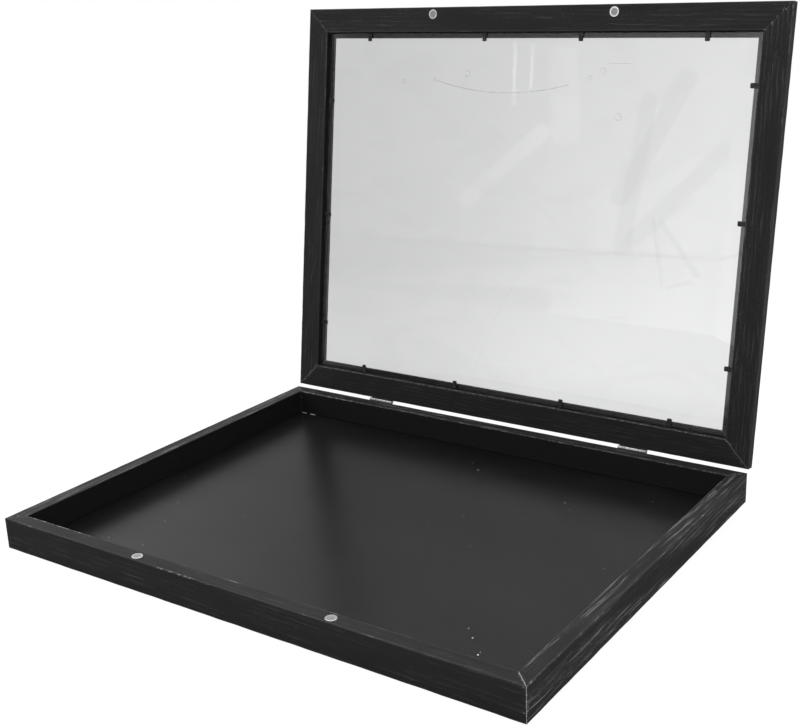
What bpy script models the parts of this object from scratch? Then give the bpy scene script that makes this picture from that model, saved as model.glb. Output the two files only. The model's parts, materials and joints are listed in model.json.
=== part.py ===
"""Hinged wall case for a folded jersey: a shallow wooden tray under a glazed wooden lid.

Metres, +Z up. The case lies on its back and its lid stands open. The origin is the middle of the
case's back, on the plane that a wall would touch. X runs along the hinge, and Y from the free edge
of the lid towards the hinge.
"""

import math

import bmesh
import bpy
from mathutils import Matrix, Vector

# The whole case
CASE_WIDTH = 0.800
CASE_DEPTH = 0.630
CASE_HEIGHT = 0.044
LID_OPEN_DEGREES = 98.0
SEAT_GAP = 0.0003
CUT_OVERRUN = 0.002
ARRIS = 0.0008
WELD = 0.000001
ROUND_SIDES = 32
SMALL_ROUND_SIDES = 16
SHARP_DEGREES = 35.0

# Case rails: the four sides of the tray
RAIL_WALL = 0.021

# Backing board, let into a rebate under the rails
BOARD_THICKNESS = 0.006
BOARD_LAP = 0.006
BOARD_EASE = 0.0004

# Lid rails: a flat face, a deep rebate and a thin front lip
LID_THICKNESS = 0.015
LID_FACE = 0.037
LIP_WIDTH = 0.009
LIP_THICKNESS = 0.004
LID_GAP = 0.0008

# Clear pane
PANE_THICKNESS = 0.002
PANE_PLAY = 0.001

# Black glazing tabs, driven into the rebate wall over the pane
TAB_WIDTH = 0.0072
TAB_THICKNESS = 0.0006
TAB_REACH = 0.0135
TAB_ROOT = 0.005
TAB_CORNER = 0.0012
TAB_SHARES = {
    "front": (0.148, 0.415, 0.617, 0.855),
    "back": (0.163, 0.388, 0.625, 0.845),
    "left": (0.231, 0.530, 0.821),
    "right": (0.172, 0.465, 0.786),
}

# Magnets: one pair in the case's free rail, one in the lid's
MAGNET_DIAMETER = 0.015
MAGNET_THICKNESS = 0.003
MAGNET_BEVEL = 0.0005
MAGNET_PROUD = 0.0001
MAGNET_SPACING = 0.305
MAGNET_SHIFT = -0.006

# Butt hinges, screwed to the back of the case and the back edge of the lid
HINGE_LENGTH = 0.044
HINGE_SPACING = 0.452
LEAF_THICKNESS = 0.0014
LEAF_MARGIN = 0.0022
HINGE_PIN_RADIUS = 0.0013
HINGE_PIN_HEAD_RADIUS = 0.0022
HINGE_PIN_HEAD_LENGTH = 0.0008
KNUCKLE_GAP = 0.0004
END_KNUCKLE_SHARE = 0.25

# Countersunk wood screws, for the hinges and the hanger plates
SCREW_HEAD_RADIUS = 0.0024
SCREW_SHANK_RADIUS = 0.0012
SCREW_LENGTH = 0.012
SCREW_TIP = 0.003
SCREW_RECESS = 0.0001
LEAF_SCREW_INSET = 0.0085

# Panel pins that hold the backing board
NAIL_HEAD_RADIUS = 0.0015
NAIL_HEAD_THICKNESS = 0.0006
NAIL_SHANK_RADIUS = 0.0007
NAIL_LENGTH = 0.018
NAIL_TIP = 0.0015
NAIL_RECESS = 0.0002
LONG_NAIL_SHARES = (0.12, 0.50, 0.88)
SHORT_NAIL_SHARES = (0.25, 0.75)
NAIL_SHARES = {
    "front": LONG_NAIL_SHARES,
    "back": LONG_NAIL_SHARES,
    "left": SHORT_NAIL_SHARES,
    "right": SHORT_NAIL_SHARES,
}

# Keyhole hanger plates, let into the backs of the two long rails
HANGER_LENGTH = 0.046
HANGER_WIDTH = 0.011
HANGER_THICKNESS = 0.0016
HANGER_RECESS = 0.0002
HANGER_FROM_END = 0.150
HANGER_SCREW_INSET = 0.0055
KEYHOLE_RADIUS = 0.004
KEYHOLE_SLOT_WIDTH = 0.0046
KEYHOLE_TRAVEL = 0.0145
KEYHOLE_OFFSET = 0.006
POCKET_DEPTH = 0.005
POCKET_MARGIN = 0.0005

# Sizes worked out from those above
HALF_WIDTH = CASE_WIDTH / 2
HALF_DEPTH = CASE_DEPTH / 2
MITRE_PULL = SEAT_GAP * math.sqrt(2) / 2
BARREL_RADIUS = HINGE_PIN_RADIUS + SEAT_GAP + LEAF_THICKNESS
HINGE_SETBACK = SEAT_GAP + BARREL_RADIUS
HINGE_Y = HALF_DEPTH + HINGE_SETBACK
HINGE_Z = CASE_HEIGHT + LID_GAP / 2
HINGE_XS = (-HINGE_SPACING / 2, HINGE_SPACING / 2)
LEAF_REACH = LID_GAP / 2 + LID_THICKNESS - LEAF_MARGIN
LEAF_SCREW_DROP = (LID_GAP + LID_THICKNESS) / 2
REBATE_DEPTH = LID_THICKNESS - LIP_THICKNESS
PANE_FACE = REBATE_DEPTH - SEAT_GAP - PANE_THICKNESS
TAB_BASE = PANE_FACE - SEAT_GAP - TAB_THICKNESS
BACK_FLAT = RAIL_WALL - BOARD_LAP
MAGNET_XS = (MAGNET_SHIFT - MAGNET_SPACING / 2, MAGNET_SHIFT + MAGNET_SPACING / 2)
MAGNET_Y = -HALF_DEPTH + RAIL_WALL / 2

# Each side's outward and along directions, seen from above
SIDES = {
    "front": (Vector((0, -1)), Vector((1, 0))),
    "back": (Vector((0, 1)), Vector((-1, 0))),
    "left": (Vector((-1, 0)), Vector((0, -1))),
    "right": (Vector((1, 0)), Vector((0, 1))),
}
LID_SIDE_NAMES = {"front": "free", "back": "hinge", "left": "left", "right": "right"}
FACE_UP = Matrix()
FACE_DOWN = Matrix.Rotation(math.pi, 4, "X")
FACE_BACK = Matrix.Rotation(-math.pi / 2, 4, "X")
ALONG_X = Matrix.Rotation(math.pi / 2, 4, "Y")


def clear_scene():
    for thing in list(bpy.data.objects):
        bpy.data.objects.remove(thing)


def finish(name, colour, roughness, metallic=0.0, alpha=1.0):
    made = bpy.data.materials.new(name)
    made.use_nodes = True
    shader = made.node_tree.nodes["Principled BSDF"]
    shader.inputs["Base Color"].default_value = (*colour, 1.0)
    shader.inputs["Roughness"].default_value = roughness
    shader.inputs["Metallic"].default_value = metallic
    shader.inputs["Alpha"].default_value = alpha
    return made


# Shapes

def arc(centre, radius, start, end, steps):
    """Points on an arc from the start angle to the end angle, both included."""
    angles = [start + (end - start) * i / steps for i in range(steps + 1)]
    return [(centre[0] + radius * math.cos(a), centre[1] + radius * math.sin(a)) for a in angles]


def loft(first, last):
    """A closed body between two outlines with the same number of points."""
    bm = bmesh.new()
    near = [bm.verts.new(point) for point in first]
    far = [bm.verts.new(point) for point in last]
    bm.faces.new(near)
    bm.faces.new(far)
    for i in range(len(near)):
        bm.faces.new((near[i - 1], near[i], far[i], far[i - 1]))
    return bm


def slab(outline, low, high):
    """An outline in X and Y, made solid between two heights."""
    return loft([(x, y, low) for x, y in outline], [(x, y, high) for x, y in outline])


def box(low, high):
    left, front, bottom = low
    right, back, top = high
    return slab([(left, front), (right, front), (right, back), (left, back)], bottom, top)


def turned(profile, sides):
    """A body turned about Z. The profile runs from the axis back to the axis, as radius and height."""
    bm = bmesh.new()
    points = [bm.verts.new((radius, 0, height)) for radius, height in profile]
    edges = [bm.edges.new(pair) for pair in zip(points, points[1:])]
    bmesh.ops.spin(
        bm, geom=points + edges, cent=(0, 0, 0), axis=(0, 0, 1), angle=math.tau, steps=sides, use_merge=True
    )
    bmesh.ops.remove_doubles(bm, verts=bm.verts, dist=WELD)
    return bm


def eased(corners):
    """The outline with each corner that is marked True cut back by ARRIS along both of its sides."""
    points = []
    for i, (inset, height, soft) in enumerate(corners):
        here = Vector((inset, height))
        if not soft:
            points.append(here)
            continue
        for other in (corners[i - 1], corners[(i + 1) % len(corners)]):
            points.append(here + (Vector(other[:2]) - here).normalized() * ARRIS)
    return points


def at_place(body, spot=Vector(), turn=FACE_UP):
    return body, Matrix.Translation(spot) @ turn


def gathered(bodies):
    """One bmesh with every body in it, each moved to its place."""
    whole = bmesh.new()
    for body, place in bodies:
        body.transform(place)
        spare = bpy.data.meshes.new("spare")
        body.to_mesh(spare)
        body.free()
        whole.from_mesh(spare)
        bpy.data.meshes.remove(spare)
    return whole


# Objects

def mesh_from(name, bm, smooth=False):
    bmesh.ops.recalc_face_normals(bm, faces=bm.faces)
    mesh = bpy.data.meshes.new(name)
    bm.to_mesh(mesh)
    bm.free()
    if smooth:
        mesh.shade_smooth()
        mesh.set_sharp_from_angle(angle=math.radians(SHARP_DEGREES))
    return mesh


def place(name, mesh, surface, parent=None, at=(0, 0, 0), turn=FACE_UP):
    thing = bpy.data.objects.new(name, mesh)
    bpy.context.scene.collection.objects.link(thing)
    thing.parent = parent
    thing.location = at
    thing.rotation_euler = turn.to_euler()
    if surface:
        thing.data.materials.clear()
        thing.data.materials.append(surface)
    return thing


def empty(name, parent=None, at=(0, 0, 0), turn_x=0.0):
    point = bpy.data.objects.new(name, None)
    bpy.context.scene.collection.objects.link(point)
    point.parent = parent
    point.location = at
    point.rotation_euler = (turn_x, 0, 0)
    return point


def cut(target, bodies):
    """Takes bodies, given in the target's own space, out of the target."""
    tool = place(target.name + "_cutter", mesh_from(target.name + "_cutter", gathered(bodies)), None)
    tool.parent = target.parent
    tool.location = target.location
    tool.rotation_euler = target.rotation_euler
    tool.hide_render = True
    tool.display_type = "WIRE"
    knife = target.modifiers.new("cut", "BOOLEAN")
    knife.operation = "DIFFERENCE"
    knife.solver = "EXACT"
    knife.object = tool


# Rails

def half_sizes(side):
    """How far the frame reaches on this side, outwards and along it."""
    outward, _ = SIDES[side]
    return (HALF_DEPTH, HALF_WIDTH) if outward.y else (HALF_WIDTH, HALF_DEPTH)


def spot_on(side, inset, share):
    """A point in X and Y: an inset from the side's outer face, at a share of its length.

    Shares run from left to right on the front and back, and from front to back on the others.
    """
    outward, along = SIDES[side]
    reach, half_length = half_sizes(side)
    run = Vector((abs(along.x), abs(along.y)))
    return outward * (reach - inset) + run * (half_length * (2 * share - 1))


def rail(name, side, profile, surface, parent=None):
    """A straight rail with mitred ends, whose profile is a list of inset and height."""
    outward, along = SIDES[side]
    reach, half_length = half_sizes(side)
    ends = []
    for sign in (-1, 1):
        ring = []
        for inset, height in profile:
            spot = outward * (reach - inset) + along * sign * (half_length - inset - MITRE_PULL)
            ring.append((spot.x, spot.y, height))
        ends.append(ring)
    return place(name, mesh_from(name, loft(*ends)), surface, parent)


def case_profile():
    shoulder = BOARD_THICKNESS + SEAT_GAP
    return eased([
        (0, 0, True),
        (BACK_FLAT, 0, False),
        (BACK_FLAT, shoulder, False),
        (RAIL_WALL, shoulder, False),
        (RAIL_WALL, CASE_HEIGHT, True),
        (0, CASE_HEIGHT, True),
    ])


def lid_profile():
    """Height 0 is the lid's inner face, and its lip is on the far side."""
    lip_edge = LID_FACE + LIP_WIDTH
    return eased([
        (0, 0, True),
        (LID_FACE, 0, True),
        (LID_FACE, REBATE_DEPTH, False),
        (lip_edge, REBATE_DEPTH, False),
        (lip_edge, LID_THICKNESS, True),
        (0, LID_THICKNESS, True),
    ])


# Round pieces and the holes that take them, with their outer end at height 0

def screw_profile(gap=0.0, above=0.0):
    head, shank = SCREW_HEAD_RADIUS + gap, SCREW_SHANK_RADIUS + gap
    cone = SCREW_HEAD_RADIUS - SCREW_SHANK_RADIUS
    tip = -SCREW_LENGTH - gap
    rim = [(0, above), (head, above)] if above else [(0, 0)]
    return rim + [(head, 0), (shank, -cone), (shank, tip + SCREW_TIP), (0, tip)]


def nail_profile(gap=0.0, above=0.0):
    head, shank = NAIL_HEAD_RADIUS + gap, NAIL_SHANK_RADIUS + gap
    under = -NAIL_HEAD_THICKNESS - gap
    tip = -NAIL_LENGTH - gap
    return [(0, above), (head, above), (head, under), (shank, under), (shank, tip + NAIL_TIP), (0, tip)]


def magnet_profile():
    radius = MAGNET_DIAMETER / 2
    low = -MAGNET_THICKNESS
    return [(0, 0), (radius - MAGNET_BEVEL, 0), (radius, -MAGNET_BEVEL),
            (radius, low + MAGNET_BEVEL), (radius - MAGNET_BEVEL, low), (0, low)]


def magnet_bore():
    radius = MAGNET_DIAMETER / 2 + SEAT_GAP
    low = -MAGNET_THICKNESS - SEAT_GAP
    return turned([(0, CUT_OVERRUN), (radius, CUT_OVERRUN), (radius, low), (0, low)], ROUND_SIDES)


def screw_hole():
    return turned(screw_profile(SEAT_GAP, CUT_OVERRUN), SMALL_ROUND_SIDES)


def nail_hole():
    return turned(nail_profile(SEAT_GAP, CUT_OVERRUN), SMALL_ROUND_SIDES)


def hinge_pin_mesh():
    half = HINGE_LENGTH / 2 + SEAT_GAP
    end = half + HINGE_PIN_HEAD_LENGTH
    crown = HINGE_PIN_HEAD_RADIUS - HINGE_PIN_HEAD_LENGTH / 2
    profile = [(0, end), (crown, end), (HINGE_PIN_HEAD_RADIUS, end - HINGE_PIN_HEAD_LENGTH / 2),
               (HINGE_PIN_HEAD_RADIUS, half), (HINGE_PIN_RADIUS, half)]
    profile += [(radius, -height) for radius, height in reversed(profile)]
    return mesh_from("hinge_pin", turned(profile, SMALL_ROUND_SIDES), True)


# Hinge leaves, with the pin's axis on X

def knuckle_spans(middle):
    """The stretches of X that a leaf's own knuckles fill: the middle one, or the two end ones."""
    half = HINGE_LENGTH / 2
    split = half - HINGE_LENGTH * END_KNUCKLE_SHARE
    if middle:
        return [(-split + KNUCKLE_GAP / 2, split - KNUCKLE_GAP / 2)]
    return [(-half, -split - KNUCKLE_GAP / 2), (split + KNUCKLE_GAP / 2, half)]


def leaf_mesh(name, middle, hand):
    """A flat leaf that curls into its knuckles. hand is 1 for a leaf above the pin and -1 below."""
    bm = bmesh.new()
    inner, outer = -BARREL_RADIUS, LEAF_THICKNESS - BARREL_RADIUS
    neck = BARREL_RADIUS + KNUCKLE_GAP
    spans = knuckle_spans(middle)
    stations = sorted({-HINGE_LENGTH / 2, HINGE_LENGTH / 2, *(x for span in spans for x in span)})
    section = ((inner, LEAF_REACH), (outer, LEAF_REACH), (outer, neck), (inner, neck))
    rows = {x: [bm.verts.new((x, y, hand * z)) for y, z in section] for x in stations}
    for x, following in zip(stations, stations[1:]):
        near, far = rows[x], rows[following]
        under_knuckle = any(low <= x and following <= high for low, high in spans)
        for i in (0, 1, 3) if under_knuckle else (0, 1, 2, 3):
            j = (i + 1) % 4
            bm.faces.new((near[i], near[j], far[j], far[i]))
    bm.faces.new(rows[stations[0]])
    bm.faces.new(rows[stations[-1]])
    closing = math.acos(outer / BARREL_RADIUS)
    curl = arc((0, 0), BARREL_RADIUS, math.pi, -closing, SMALL_ROUND_SIDES)
    for low, high in spans:
        rings = []
        for x in (low, high):
            bend = [bm.verts.new((x, y, -hand * z)) for y, z in curl]
            ring = [rows[x][3], *bend, rows[x][2]]
            bm.faces.new(ring)
            rings.append(ring)
        near, far = rings
        for i in range(len(near) - 1):
            bm.faces.new((near[i], near[i + 1], far[i + 1], far[i]))
    return mesh_from(name, bm, True)


def leaf_screw_spots(hand):
    """Where a leaf's screws start, in the leaf's own space."""
    x = HINGE_LENGTH / 2 - LEAF_SCREW_INSET
    y = LEAF_THICKNESS - BARREL_RADIUS - SCREW_RECESS
    return [Vector((-x, y, hand * LEAF_SCREW_DROP)), Vector((x, y, hand * LEAF_SCREW_DROP))]


def add_hinge(label, x, lid_axis, lid_middle, nickel, screw_mesh, cuts):
    """One hinge: two leaves, the pin and four screws, whose holes go into both back rails."""
    bore_radius = HINGE_PIN_RADIUS + SEAT_GAP
    bore_end = HINGE_LENGTH / 2 + CUT_OVERRUN
    bore_profile = [(0, bore_end), (bore_radius, bore_end), (bore_radius, -bore_end), (0, -bore_end)]
    pin_at = Vector((x, HINGE_Y, HINGE_Z))
    place(f"hinge_{label}_pin", hinge_pin_mesh(), nickel, None, pin_at, ALONG_X)
    on_axis = Vector((x, 0, 0))
    for owner, hand, parent, origin, rail_name, into_rail in (
        ("case", -1, None, pin_at, "case_rail_back", Vector()),
        ("lid", 1, lid_axis, on_axis, "lid_rail_hinge", -lid_middle.location),
    ):
        name = f"hinge_{label}_{owner}_leaf"
        leaf = place(name, leaf_mesh(name, owner == "lid", hand), nickel, parent, origin)
        spots = leaf_screw_spots(hand)
        holes = [at_place(screw_hole(), spot, FACE_BACK) for spot in spots]
        cut(leaf, [(turned(bore_profile, SMALL_ROUND_SIDES), ALONG_X), *holes])
        for number, spot in enumerate(spots, 1):
            screw_name = f"hinge_{label}_{owner}_screw_{number}"
            place(screw_name, screw_mesh, nickel, parent, origin + spot, FACE_BACK)
            cuts[rail_name].append(at_place(screw_hole(), origin + spot + into_rail, FACE_BACK))


# Hanger plates

def hanger_outline(gap=0.0):
    """A plate with round ends, its length along X."""
    radius = HANGER_WIDTH / 2 + gap
    end = HANGER_LENGTH / 2 + gap - radius
    steps = SMALL_ROUND_SIDES // 2
    return (arc((end, 0), radius, -math.pi / 2, math.pi / 2, steps)
            + arc((-end, 0), radius, math.pi / 2, math.pi * 3 / 2, steps))


def keyhole_outline(gap=0.0):
    """A round entry with a slot that runs from it towards +X, where the wall screw comes to rest."""
    radius, half_slot = KEYHOLE_RADIUS + gap, KEYHOLE_SLOT_WIDTH / 2 + gap
    opening = math.asin(half_slot / radius)
    entry = (-KEYHOLE_OFFSET, 0)
    rest = (KEYHOLE_TRAVEL - KEYHOLE_OFFSET, 0)
    return (arc(entry, radius, opening, math.tau - opening, SMALL_ROUND_SIDES)
            + arc(rest, half_slot, -math.pi / 2, math.pi / 2, SMALL_ROUND_SIDES // 2))


def hanger_screw_spots():
    x = HANGER_LENGTH / 2 - HANGER_SCREW_INSET
    return [Vector((-x, 0, SCREW_RECESS)), Vector((x, 0, SCREW_RECESS))]


def add_hanger(side, case_rail, zinc, screw_mesh, cuts):
    """A flush keyhole plate in a long rail, near the end that is uppermost on a wall, and its pocket."""
    name = f"hanger_{side}_plate"
    spot = spot_on(side, BACK_FLAT / 2, 1 - HANGER_FROM_END / CASE_WIDTH)
    at = Vector((spot.x, spot.y, HANGER_RECESS))
    floor = HANGER_THICKNESS + SEAT_GAP
    half_room = KEYHOLE_RADIUS + POCKET_MARGIN
    rest_x = KEYHOLE_TRAVEL - KEYHOLE_OFFSET

    plate = place(name, mesh_from(name, slab(hanger_outline(), 0, HANGER_THICKNESS)), zinc, None, at)
    keyhole = slab(keyhole_outline(), -CUT_OVERRUN, HANGER_THICKNESS + CUT_OVERRUN)
    screw_holes = [at_place(screw_hole(), screw_at, FACE_DOWN) for screw_at in hanger_screw_spots()]
    cut(plate, [at_place(keyhole), *screw_holes])

    # The mortise is cut by itself, because the pocket under it opens into it
    cut(case_rail, [at_place(slab(hanger_outline(SEAT_GAP), -HANGER_RECESS - CUT_OVERRUN, floor), at)])
    pocket = box(
        (-KEYHOLE_OFFSET - half_room, -half_room, floor - CUT_OVERRUN / 2),
        (rest_x + half_room, half_room, floor + POCKET_DEPTH),
    )
    cuts[case_rail.name].append(at_place(pocket, at))
    for number, screw_at in enumerate(hanger_screw_spots(), 1):
        place(f"hanger_{side}_screw_{number}", screw_mesh, zinc, None, at + screw_at, FACE_DOWN)
        cuts[case_rail.name].append(at_place(screw_hole(), at + screw_at, FACE_DOWN))


# Glazing tabs

def tab_outline():
    """The tab's plan: its root tapers into the wood behind X 0, and its tip has clipped corners."""
    half = TAB_WIDTH / 2
    return [
        (-TAB_ROOT, -half + TAB_CORNER), (-TAB_ROOT + TAB_CORNER, -half),
        (TAB_REACH - TAB_CORNER, -half), (TAB_REACH, -half + TAB_CORNER),
        (TAB_REACH, half - TAB_CORNER), (TAB_REACH - TAB_CORNER, half),
        (-TAB_ROOT + TAB_CORNER, half), (-TAB_ROOT, half - TAB_CORNER),
    ]


def tab_slot():
    half = TAB_WIDTH / 2 + SEAT_GAP
    return box((-TAB_ROOT - SEAT_GAP, -half, -SEAT_GAP), (CUT_OVERRUN, half, TAB_THICKNESS + SEAT_GAP))


def tab_turn(side):
    """Turns +X to point inwards from this side."""
    outward, _ = SIDES[side]
    return Matrix.Rotation(math.atan2(-outward.y, -outward.x), 4, "Z")


def add_tabs(parent, black_steel, cuts):
    tab_mesh = mesh_from("glazing_tab", slab(tab_outline(), 0, TAB_THICKNESS))
    for side, shares in TAB_SHARES.items():
        label = LID_SIDE_NAMES[side]
        turn = tab_turn(side)
        for number, share in enumerate(shares, 1):
            spot = spot_on(side, LID_FACE, share)
            at = Vector((spot.x, spot.y, TAB_BASE))
            place(f"glazing_tab_{label}_{number}", tab_mesh, black_steel, parent, at, turn)
            cuts[f"lid_rail_{label}"].append(at_place(tab_slot(), at, turn))


# Board, pane and magnets

def add_board(board_face, zinc, cuts):
    """The backing board, and the panel pins that go up through it into the rails."""
    half_x = HALF_WIDTH - BACK_FLAT - SEAT_GAP
    half_y = HALF_DEPTH - BACK_FLAT - SEAT_GAP
    body = box((-half_x, -half_y, 0), (half_x, half_y, BOARD_THICKNESS))
    board = place("backing_board", mesh_from("backing_board", body), board_face)
    ease = board.modifiers.new("ease", "BEVEL")
    ease.width = BOARD_EASE
    ease.segments = 1

    nail_mesh = mesh_from("panel_pin", turned(nail_profile(), SMALL_ROUND_SIDES), True)
    board_holes = []
    for side, shares in NAIL_SHARES.items():
        for number, share in enumerate(shares, 1):
            spot = spot_on(side, RAIL_WALL - BOARD_LAP / 2, share)
            at = Vector((spot.x, spot.y, NAIL_RECESS))
            place(f"board_pin_{side}_{number}", nail_mesh, zinc, None, at, FACE_DOWN)
            board_holes.append(at_place(nail_hole(), at, FACE_DOWN))
            cuts[f"case_rail_{side}"].append(at_place(nail_hole(), at, FACE_DOWN))
    cut(board, board_holes)


def add_pane(parent, acrylic):
    """The pane, which lies on the lid's front lip."""
    half_x = HALF_WIDTH - LID_FACE - PANE_PLAY
    half_y = HALF_DEPTH - LID_FACE - PANE_PLAY
    body = box((-half_x, -half_y, PANE_FACE), (half_x, half_y, PANE_FACE + PANE_THICKNESS))
    place("clear_pane", mesh_from("clear_pane", body), acrylic, parent)


def add_magnets(parent, coat, cuts):
    """Two pairs, face to face when the lid is shut."""
    magnet_mesh = mesh_from("magnet", turned(magnet_profile(), ROUND_SIDES), True)
    for number, x in enumerate(MAGNET_XS, 1):
        on_case = Vector((x, MAGNET_Y, CASE_HEIGHT + MAGNET_PROUD))
        on_lid = Vector((x, MAGNET_Y, -MAGNET_PROUD))
        place(f"magnet_case_{number}", magnet_mesh, coat, None, on_case)
        place(f"magnet_lid_{number}", magnet_mesh, coat, parent, on_lid, FACE_DOWN)
        cuts["case_rail_front"].append(at_place(magnet_bore(), on_case))
        cuts["lid_rail_free"].append(at_place(magnet_bore(), on_lid, FACE_DOWN))


def main():
    clear_scene()
    wood = finish("black_wood", (0.030, 0.030, 0.031), 0.50)
    board_face = finish("black_board", (0.022, 0.022, 0.023), 0.38)
    acrylic = finish("clear_acrylic", (0.92, 0.93, 0.94), 0.05, alpha=0.2)
    black_steel = finish("black_tab", (0.012, 0.012, 0.012), 0.45)
    nickel = finish("nickel", (0.66, 0.66, 0.64), 0.22, metallic=1.0)
    coat = finish("magnet_nickel", (0.74, 0.74, 0.73), 0.30, metallic=1.0)
    zinc = finish("zinc_steel", (0.55, 0.56, 0.57), 0.35, metallic=1.0)

    # The lid turns about the hinge pins, and its middle point lies on its inner face
    lid_axis = empty("lid_axis", None, (0, HINGE_Y, HINGE_Z), -math.radians(LID_OPEN_DEGREES))
    lid_middle = empty("lid_middle", lid_axis, (0, -HINGE_SETBACK - HALF_DEPTH, LID_GAP / 2))

    rails = {}
    for side, label in LID_SIDE_NAMES.items():
        rails[f"case_rail_{side}"] = rail(f"case_rail_{side}", side, case_profile(), wood)
        rails[f"lid_rail_{label}"] = rail(f"lid_rail_{label}", side, lid_profile(), wood, lid_middle)
    cuts = {name: [] for name in rails}

    add_board(board_face, zinc, cuts)
    add_pane(lid_middle, acrylic)
    add_tabs(lid_middle, black_steel, cuts)
    add_magnets(lid_middle, coat, cuts)
    hinge_screw_mesh = mesh_from("hinge_screw", turned(screw_profile(), SMALL_ROUND_SIDES), True)
    for label, x in zip(("left", "right"), HINGE_XS):
        add_hinge(label, x, lid_axis, lid_middle, nickel, hinge_screw_mesh, cuts)
    hanger_screw_mesh = mesh_from("hanger_screw", turned(screw_profile(), SMALL_ROUND_SIDES), True)
    for side in ("front", "back"):
        add_hanger(side, rails[f"case_rail_{side}"], zinc, hanger_screw_mesh, cuts)
    for name, bodies in cuts.items():
        cut(rails[name], bodies)


main()
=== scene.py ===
import json
import math
from functools import reduce

import bmesh
import bpy
import numpy as np
from mathutils import Matrix, Vector


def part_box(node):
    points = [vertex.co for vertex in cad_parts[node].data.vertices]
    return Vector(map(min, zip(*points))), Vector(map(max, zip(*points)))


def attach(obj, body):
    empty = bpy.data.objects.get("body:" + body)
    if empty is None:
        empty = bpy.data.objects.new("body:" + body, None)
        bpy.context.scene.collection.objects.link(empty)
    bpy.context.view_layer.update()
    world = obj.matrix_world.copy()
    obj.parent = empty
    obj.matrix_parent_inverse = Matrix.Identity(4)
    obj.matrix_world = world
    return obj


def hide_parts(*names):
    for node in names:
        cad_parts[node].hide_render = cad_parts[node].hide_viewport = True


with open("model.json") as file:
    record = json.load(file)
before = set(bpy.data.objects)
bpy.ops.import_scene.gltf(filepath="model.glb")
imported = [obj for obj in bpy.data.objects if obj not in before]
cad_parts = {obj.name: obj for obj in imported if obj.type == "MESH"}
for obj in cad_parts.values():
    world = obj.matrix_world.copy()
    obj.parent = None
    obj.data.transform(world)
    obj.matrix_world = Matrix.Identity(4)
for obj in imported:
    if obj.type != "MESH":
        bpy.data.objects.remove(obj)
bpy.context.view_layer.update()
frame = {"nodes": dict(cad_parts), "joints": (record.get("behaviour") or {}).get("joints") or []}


# Case rails
# Four lengths of open-grained wood, stained black and glued at the mitres, with a rebate
# underneath for the board. The arrises are sanded round by hand, and rubbed in places since.

CASE_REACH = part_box("case_rail_right")[1].x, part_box("case_rail_back")[1].y
CASE_WALL, CASE_HEIGHT = 0.021, 0.044
CASE_REBATE = 0.015, 0.0063
SANDED, CRISP = 0.0008, 0.00008
MITRE_GAP = 0.00006
CASE_CORNERS = (
    (0, 0, SANDED), (CASE_REBATE[0], 0, CRISP), (*CASE_REBATE, CRISP),
    (CASE_WALL, CASE_REBATE[1], CRISP), (CASE_WALL, CASE_HEIGHT, SANDED), (0, CASE_HEIGHT, SANDED),
)
CASE_ARRISES = (0, CASE_HEIGHT), (CASE_WALL, CASE_HEIGHT), (0, 0)
CASE_SEED = 5
ARRIS_WORN = 0.0019, 0.0010
SIDES = {"front": 0, "right": 90, "back": 180, "left": 270}
STAINED = 0.0078, 0.0078, 0.0080, 1
STAINED_THIN = 0.0115, 0.0115, 0.0118, 1
OPEN_GRAIN = 0.420, 0.418, 0.410, 1
RUBBED = 0.36, 0.355, 0.345, 1
RING_WIDTH = 0.0052


class Field:
    """A number, or a vector, that changes over a surface: one output of a material's nodes.

    Arithmetic on numbers adds Math nodes, so a mask is written as an expression.
    """

    def __init__(self, socket):
        self.socket = socket

    def sum_up(self, operation, *terms):
        tree = self.socket.id_data
        node = tree.nodes.new("ShaderNodeMath")
        node.operation = operation
        for slot, term in zip(node.inputs, terms):
            if isinstance(term, Field):
                tree.links.new(term.socket, slot)
            else:
                slot.default_value = term
        return Field(node.outputs[0])

    def __add__(self, other):
        return self.sum_up("ADD", self, other)

    def __sub__(self, other):
        return self.sum_up("SUBTRACT", self, other)

    def __rsub__(self, other):
        return self.sum_up("SUBTRACT", other, self)

    def __mul__(self, other):
        return self.sum_up("MULTIPLY", self, other)

    def __truediv__(self, other):
        return self.sum_up("DIVIDE", self, other)

    def __pow__(self, other):
        return self.sum_up("POWER", self, other)

    def __abs__(self):
        return self.sum_up("ABSOLUTE", self)

    def larger(self, other):
        return self.sum_up("MAXIMUM", self, other)

    def fraction(self):
        return self.sum_up("FRACT", self)

    __radd__, __rmul__ = __add__, __mul__


class Nodes:
    """The nodes of a material or a world, added by one method."""

    def __init__(self, tree):
        self.tree = tree

    def feed(self, socket, value):
        if isinstance(value, Field):
            self.tree.links.new(value.socket, socket)
        else:
            socket.default_value = value

    def node(self, kind, settings=(), sockets=(), out=0):
        """Adds a node: its settings first, then the values or links of its sockets."""
        node = self.tree.nodes.new("ShaderNode" + kind)
        for name, value in dict(settings).items():
            setattr(node, name, value)
        for name, value in dict(sockets).items():
            self.feed(node.inputs[name], value)
        return Field(node.outputs[out])

    def axes(self, vector):
        node = self.node("SeparateXYZ", (), {0: vector}).socket.node
        return [Field(out) for out in node.outputs]

    def noise(self, vector, stretch, detail=2.0, shift=0.0, **more):
        """Noise from 0 to 1 about 0.5, whose cells are 1 / stretch of the vector's units long."""
        scaled = self.node("VectorMath", {"operation": "MULTIPLY_ADD"}, {
            0: vector, 1: stretch, 2: (shift,) * 3,
        })
        return self.node("TexNoise", (), {"Vector": scaled, "Scale": 1.0, "Detail": detail, **more})

    def rise(self, value, low, high):
        """0 up to low, 1 from high on, a smooth step between. It falls where high is the less."""
        return self.node("MapRange", {"interpolation_type": "SMOOTHSTEP"}, {
            "Value": value, "From Min": low, "From Max": high,
        })

    def mix(self, share, first, second):
        return self.node("Mix", {"data_type": "RGBA"}, {0: share, 6: first, 7: second}, 2)


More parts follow.
